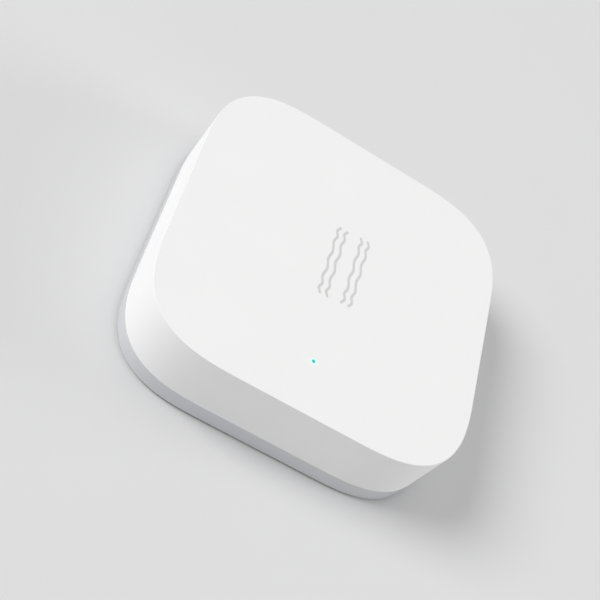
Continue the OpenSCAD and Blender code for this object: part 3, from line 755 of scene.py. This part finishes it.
# Tracks on each side of the board, as a width and a path in millimetres
UNDER_TRACKS = (
    (0.9, (-12.5, 1.2), (-13.2, 1.2), (-15, 3), (-15, 8.5), (-10.9, 12.6), (-1.6, 12.6)),
    (0.9, (4, 1.5), (9, 1.5), (13, 5.5), (13, 9.1), (8.5, 13.6), (1.6, 13.6)),
    (0.3, (16.9, 2.8), (16.9, 6), (14.6, 8.3), (14.6, 10.4)),
    (0.3, (16.9, -2.8), (16.9, -6.2), (14.2, -8.9), (14.2, -10.6)),
    (0.25, (-4.4, -13), (-4.4, -14.6), (-5.6, -15.8), (-9.4, -15.8)),
    (0.25, (-2.2, -13), (-2.2, -15.2), (-3.6, -16.6), (-8.2, -16.6)),
    (0.25, (0, -13), (0, -17.4)),
    (0.25, (2.2, -13), (2.2, -15.2), (3.6, -16.6), (8.2, -16.6)),
    (0.25, (4.4, -13), (4.4, -14.6), (5.6, -15.8), (9.4, -15.8)),
    (0.25, (-4, -1.4), (-5.4, -1.4), (-7, -3), (-7, -5.2)),
    (0.25, (-6.6, 4.2), (-3.4, 4.2), (-2.2, 5.4), (4.4, 5.4)),
    (0.25, (-6, 4.9), (-3.7, 4.9), (-2.5, 6.1), (3.6, 6.1)),
    (0.25, (-5.4, 5.6), (-4, 5.6), (-2.8, 6.8), (2.8, 6.8)),
    (0.25, (3.2, -4.2), (0.4, -4.2), (-1.4, -6), (-4.2, -6)),
    (0.25, (3.9, -4.9), (0.7, -4.9), (-1.1, -6.7), (-3.4, -6.7)),
    (0.25, (-17.2, -4.6), (-15.6, -6.2), (-15.6, -9), (-12.6, -12)),
    (0.25, (-16.3, -4.2), (-14.9, -5.6), (-14.9, -8.7), (-12, -11.6)),
    (0.25, (9.4, 12), (11.6, 14.2), (11.6, 15.4)),
)
OVER_TRACKS = (
    (0.5, (-2.4, 7.6), (-2.4, 12), (-1, 13.4), (-1, 16.6)),
    (0.2, (-0.5, 3.7), (4.5, 3.7)),
    (0.2, (-0.5, 5), (4.5, 5)),
    (0.2, (-0.5, 6.3), (4.5, 6.3)),
    (0.2, (-2, 2.4), (0, 0.4), (4.4, 0.4)),
    (0.2, (-2.6, 2.4), (0, -0.2), (4.4, -0.2)),
    (0.2, (-3.2, 2.4), (0, -0.8), (4.4, -0.8)),
    (0.2, (-7, 5), (-11, 5)),
    (0.2, (-4.5, 7.6), (-4.5, 9)),
    (0.3, (-3.6, -14.7), (-6, -14.7), (-8, -12.7), (-8, -4), (-6.4, -2.4), (-6.4, 0.9)),
    (0.3, (0.6, -14.7), (3, -14.7), (5, -12.7), (5, -9)),
    (0.3, (8.4, -1), (11, -1), (12.6, 0.6), (12.6, 9), (10, 11.6), (4, 11.6)),
)

# How far tracks, vias and print stand off the board, and how far they reach into it
TRACK_RISE = 0.03 * MM
VIA_RISE = 0.04 * MM
INK_RISE = 0.015 * MM
SUNK = 0.01 * MM

# Tracks narrower than this, in millimetres, have a via at each end
VIA_BELOW = 0.4
VIA_R = 0.32 * MM
VIA_HOLE_R = 0.13 * MM

# Printed marks in millimetres: the width of a line, the signs by the contacts, the room round a part
INK_WIDTH = 0.16
PLUS_SIGN = [[(-17, 0.4), (-15.4, 0.4)], [(-16.2, -0.4), (-16.2, 1.2)]]
MINUS_SIGN = [[(6, -1.6), (7.6, -1.6)]]
CHIP_ROOM = 0.3
BULK_ROOM = 0.45
SWITCH_ROOM = 0.9

# The board's materials, in the order of its list
ON_MASK, ON_EDGE, ON_TRACK, ON_INK = range(4)


def strip(width, path, level, rise):
    """Flat strip of a width along a path in millimetres, which stands off a level, or hangs from it
    where the rise is negative. A path that ends where it began is closed."""
    bm = bmesh.new()
    closed = path[0] == path[-1]
    spots = [Vector(spot) * MM for spot in path]
    ways = [(b - a).normalized() for a, b in zip(spots, spots[1:])]
    ways_in = [ways[-1 if closed else 0], *ways]
    ways_out = [*ways, ways[-1]]
    lines = []
    for spot, before, after in zip(spots[:-1] if closed else spots, ways_in, ways_out):
        along = (before + after).normalized()
        across = Vector((-along.y, along.x)) * width * MM / 2 / along.dot(after)
        lines.append(bm.edges.new([bm.verts.new((spot + side * across).to_3d()) for side in (1, -1)]))
    for pair in zip(lines, lines[1:] + lines[:closed]):
        bmesh.ops.bridge_loops(bm, edges=list(pair))
    sunk = math.copysign(SUNK, rise)
    bmesh.ops.translate(bm, vec=(0, 0, level - sunk), verts=bm.verts)
    return thickened(bm, rise + sunk)


def ink_frame(node, room):
    """Printed outline round a part, as a closed path in millimetres."""
    low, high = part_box(node)
    x0, y0, x1, y1 = low.x / MM - room, low.y / MM - room, high.x / MM + room, high.y / MM + room
    return [(x0, y0), (x1, y0), (x1, y1), (x0, y1), (x0, y0)]


def board_print():
    """Tracks and vias under the lacquer, and printed marks on it."""
    made = []
    for tracks, level, side in ((UNDER_TRACKS, board_low.z, -1), (OVER_TRACKS, board_high.z, 1)):
        near, far = sorted((level - side * SUNK, level + side * VIA_RISE))
        ring = [(VIA_HOLE_R, near), (VIA_R, near), (VIA_R, far), (VIA_HOLE_R, far)]
        for width, *path in tracks:
            made.append(coloured(strip(width, path, level, side * TRACK_RISE), ON_TRACK))
            for x, y in (path[0], path[-1]) if width < VIA_BELOW else ():
                made.append(coloured(turned(ring, (x * MM, y * MM, 0), steps=VIA_STEPS), ON_TRACK))
    switch_frame = ink_frame("switch_housing", SWITCH_ROOM)[1:]
    under = [ink_frame("bulk_capacitor", BULK_ROOM), switch_frame, *PLUS_SIGN, *MINUS_SIGN]
    made += [coloured(strip(INK_WIDTH, path, board_low.z, -INK_RISE), ON_INK) for path in under]
    chips = ("radio_chip", "memory_chip", "motion_sensor", "chip_antenna")
    over = [ink_frame(chip, CHIP_ROOM) for chip in chips]
    made += [coloured(strip(INK_WIDTH, path, board_high.z, INK_RISE), ON_INK) for path in over]
    return made


def circuit_board():
    """Lacquered board, scalloped round the bosses, with bare edges, tracks and print."""
    solid = soft_block(board_high.x, IN_REACH - (IN_HALF - board_high.x), board_low.z, board_high.z)
    scallops = [rod(BOSS_R + BOSS_GAP, board_low.z - CUT, board_high.z + CUT, x, y)
                for x, y in on_corners(BOSS_AT, BOSS_AT)]
    board = combined(solid, ("DIFFERENCE", gathered(*scallops)))
    board.normal_update()
    for face in board.faces:
        face.material_index = ON_MASK if abs(face.normal.z) > 0.5 else ON_EDGE
    board = gathered(board, *board_print())
    piece("green_board", board, [MASK, LAMINATE, TRACK, INK], "sensor", "circuit_board")


def chip_package(name, node, pads_a_side, sides):
    """Black package with a chamfered lid, a first-pin dimple and tinned pads level with its sides."""
    low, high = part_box(node)
    size = high - low
    centre = (low + high) / 2
    lid_edge_r = 0.08 * MM
    body = block(low, high)
    rounded(body, at_level(body, high.z), lid_edge_r, 2)
    dimple_r, dimple_d, dimple_in = 0.22 * MM, 0.05 * MM, 0.7 * MM
    dimple = rod(dimple_r, high.z - dimple_d, high.z + CUT, low.x + dimple_in, high.y - dimple_in)
    body = combined(body, ("DIFFERENCE", dimple))

    pad_l, pad_h, pad_out, pad_share = 0.3 * MM, 0.2 * MM, 0.01 * MM, 0.28
    pads = []
    for turn in range(sides):
        along, across = (size.x, size.y) if turn % 2 == 0 else (size.y, size.x)
        edge = across / 2
        step = along / (pads_a_side + 1)
        half = step * pad_share
        for k in range(pads_a_side):
            shift = (k - (pads_a_side - 1) / 2) * step
            pad = block((shift - half, edge - pad_l, 0), (shift + half, edge + pad_out, pad_h))
            quarter_turned(pad, turn if sides == 4 else 2 * turn)
            bmesh.ops.translate(pad, vec=(centre.x, centre.y, low.z), verts=pad.verts)
            pads.append(coloured(pad, 1))
    piece(name, gathered(body, *pads), [EPOXY, TIN], "sensor", node)


def two_ended(low, high):
    """Small block with a slightly larger metal end, of material 1, at each end of its longer side."""
    end_share, end_step, edge_r = 0.22, 0.012 * MM, 0.03 * MM
    size = high - low
    axis = 0 if size.x > size.y else 1
    along = Vector((1, 0, 0)) if axis == 0 else Vector((0, 1, 0))
    bm = block(low, high)
    ends = (low[axis] + end_share * size[axis], high[axis] - end_share * size[axis])
    for end in ends:
        sliced(bm, along * end, along)
    middle = [f for f in bm.faces if ends[0] < f.calc_center_median()[axis] < ends[1]]
    for face in bm.faces:
        face.material_index = 0 if face in middle else 1
    bmesh.ops.inset_region(bm, faces=middle, thickness=end_step, depth=-end_step, use_even_offset=True)
    return rounded_block(bm, edge_r, 2)


def small_parts():
    """Parts that are a block with two metal ends."""
    for name, node, body, slot in (
        ("ceramic_capacitors", "capacitors", CERAMIC_TAN, "capacitor_tan"),
        ("film_resistors", "resistors", GLAZE, "resistor_black"),
        ("antenna_block", "chip_antenna", CERAMIC_BLUE, "antenna_ceramic"),
        ("status_lamp", "status_led", RESIN, "led_clear"),
    ):
        solids = [two_ended(low, high) for low, high in islands(node)]
        piece(name, gathered(*solids), [body, TIN], "sensor", node)


def crystal_cans():
    """Ceramic trays under metal lids with rounded edges."""
    tray_share, seam, edge_r = 0.45, 0.001 * MM, 0.06 * MM
    solids = []
    for low, high in islands("crystals"):
        solid = block(low, high)
        seam_at = low + (high - low) * tray_share
        sliced(solid, seam_at, (0, 0, 1))
        lid = [f for f in solid.faces if f.calc_center_median().z > seam_at.z]
        for face in lid:
            face.material_index = 1
        bmesh.ops.inset_region(solid, faces=lid, thickness=seam)
        solids.append(rounded_block(solid, edge_r, 3))
    piece("crystal_cans", gathered(*solids), [CERAMIC_WHITE, LID_GOLD], "sensor",
          "crystals")


def bulk_capacitor():
    """Moulded capacitor under the board, with a polarity band and a bent tab at each end."""
    band_w, edge_r = 0.7 * MM, 0.15 * MM
    low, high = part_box("bulk_capacitor")
    band = low.x + band_w
    solid = block(low, high)
    sliced(solid, (band, 0, 0), (1, 0, 0))
    for face in solid.faces:
        face.material_index = 1 if face.calc_center_median().x < band else 0
    rounded_block(solid, edge_r, 3)

    tab_out, tab_in, tab_side, tab_h, tab_edge_r = 0.05 * MM, 0.4 * MM, 0.6 * MM, 0.9 * MM, 0.03 * MM
    tabs = []
    for x, out in ((low.x, -1), (high.x, 1)):
        near, far = sorted((x + out * tab_out, x - out * tab_in))
        tab = block((near, low.y + tab_side, high.z - tab_h), (far, high.y - tab_side, high.z))
        tabs.append(coloured(rounded_block(tab, tab_edge_r, 2), 2))
    piece("bulk_capacitor_body", gathered(solid, *tabs), [YELLOW, BROWN, TIN], "sensor",
          "bulk_capacitor")


def softened_parts():
    """Parts whose CAD shape is right and only wants its edges eased, and the hidden electrode stack."""
    for name, node, edge_r, material, body, slot in (
        ("cell_holder", "battery_frame", 0.12 * MM, BLACK, "sensor", "frame_black"),
        ("holder_screws", "frame_screws", 0.06 * MM, ZINC, "sensor", "screw_steel"),
        ("positive_spring", "positive_contact", 0.03 * MM, GOLD, "sensor", "contact_gold"),
        ("negative_spring", "negative_contact", 0.02 * MM, GOLD, "sensor", "contact_gold"),
        ("switch_body", "switch_housing", 0.06 * MM, BLACK, "sensor", "switch_black"),
        ("switch_sheet", "switch_cover", 0.03 * MM, STAINLESS, "sensor", "cover_steel"),
        ("switch_key", "switch_plunger", 0.08 * MM, IVORY, "plunger", "plunger_ivory"),
        ("probe_pads", "test_pads", 0.015 * MM, GOLD, "sensor", "pad_gold"),
    ):
        piece(name, softened(node, edge_r), [material], body, node)
    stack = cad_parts["cell_pellet"].data.materials
    stack.clear()
    stack.append(ELECTRODE)


# Floor, light and camera


# The floor lies just under the pad, so that the two don't share a plane
FLOOR_HALF = 20
FLOOR_DROP = 0.02 * MM

# Light from the sky, and the tone it shows to the camera and in reflections, which is the floor's
SKY_LIGHT = 0.51
SKY_TONE = 0.73
LAMP_DISTANCE = 8

# Where the photograph was taken from, with its roll in degrees and a lens for a 36 mm wide picture
CAMERA_AT = Vector((-39.081, -98.063, 115.413)) * MM
CAMERA_AIM = Vector((-2.006, -2.726, 5.8)) * MM
CAMERA_ROLL = 45.26
LENS = 71.23
PICTURE_WIDTH = 36
NEAREST = 0.01


def floor_finish():
    """Plain pale grey with a slow drift of tone."""
    material, tree, shader, place = new_finish("pale_floor", Roughness=0.75)
    tone = noise(tree, place, 60 * MM, 3)
    grey = ramp(tree, tone, (0.3, (0.72, 0.72, 0.725)), (0.7, (0.735, 0.735, 0.74)))
    feed(tree, shader, Base_Color=grey)
    return material


def round_lamp(name, pull, radius):
    """Soft round lamp. The length of pull is the share of a facing white surface's tone that it gives."""
    lamp = bpy.data.lights.new(name, "AREA")
    lamp.shape = "DISK"
    lamp.size = 2 * radius
    lamp.energy = Vector(pull).length * math.pi ** 2 * (LAMP_DISTANCE ** 2 + radius ** 2)
    made = bpy.data.objects.new(name, lamp)
    towards = Vector(pull).normalized()
    made.location = towards * LAMP_DISTANCE
    made.rotation_mode = "QUATERNION"
    made.rotation_quaternion = towards.to_track_quat("Z", "Y")
    made.visible_camera = False
    made.visible_glossy = False
    scene.collection.objects.link(made)


def either(tree, one, other):
    """1 where either of two values is 1."""
    return add(tree, "ShaderNodeMath", {0: one, 1: other}, operation="MAXIMUM").outputs[0]


def studio():
    """Floor, an even sky, a key lamp from the left and a weak one low on the right."""
    bm = bmesh.new()
    bmesh.ops.create_grid(bm, x_segments=1, y_segments=1, size=FLOOR_HALF)
    bmesh.ops.translate(bm, vec=(0, 0, -FLOOR_DROP), verts=bm.verts)
    mesh = bpy.data.meshes.new("floor")
    bm.to_mesh(mesh)
    bm.free()
    mesh.materials.append(floor_finish())
    floor = bpy.data.objects.new("floor", mesh)
    scene.collection.objects.link(floor)

    world = bpy.data.worlds.new("studio")
    world.use_nodes = True
    tree = world.node_tree
    rays = add(tree, "ShaderNodeLightPath").outputs
    mirrored = either(tree, rays["Is Glossy Ray"], rays["Is Transmission Ray"])
    seen = either(tree, rays["Is Camera Ray"], mirrored)
    level = add(tree, "ShaderNodeMapRange", {"Value": seen, "To Min": SKY_LIGHT, "To Max": SKY_TONE})
    background = tree.nodes["Background"]
    background.inputs["Color"].default_value = (1, 1, 1, 1)
    tree.links.new(level.outputs["Result"], background.inputs["Strength"])
    scene.world = world
    round_lamp("key", pull=(-0.515, 0.012, 0.418), radius=2.1)
    round_lamp("rim", pull=(0.27, 0.05, 0.075), radius=1.6)


def camera():
    """Looks down on the face from the front left, rolled as the photograph is."""
    lens = bpy.data.cameras.new("camera")
    lens.sensor_width = PICTURE_WIDTH
    lens.lens = LENS
    lens.clip_start = NEAREST
    made = bpy.data.objects.new("camera", lens)
    made.location = CAMERA_AT
    made.rotation_mode = "QUATERNION"
    upright = (CAMERA_AIM - CAMERA_AT).to_track_quat("-Z", "Y")
    made.rotation_quaternion = upright @ Quaternion((0, 0, 1), math.radians(CAMERA_ROLL))
    scene.collection.objects.link(made)
    scene.camera = made


scene.view_settings.view_transform = "Standard"
camera()
studio()
front_shell()
wave_mark()
light_pin()
side_button()
base_cover()
adhesive_pad()
coin_cell()
circuit_board()
chip_package("radio_package", "radio_chip", pads_a_side=10, sides=4)
chip_package("motion_package", "motion_sensor", pads_a_side=4, sides=4)
chip_package("memory_package", "memory_chip", pads_a_side=4, sides=2)
small_parts()
crystal_cans()
bulk_capacitor()
softened_parts()

bpy.context.view_layer.update()
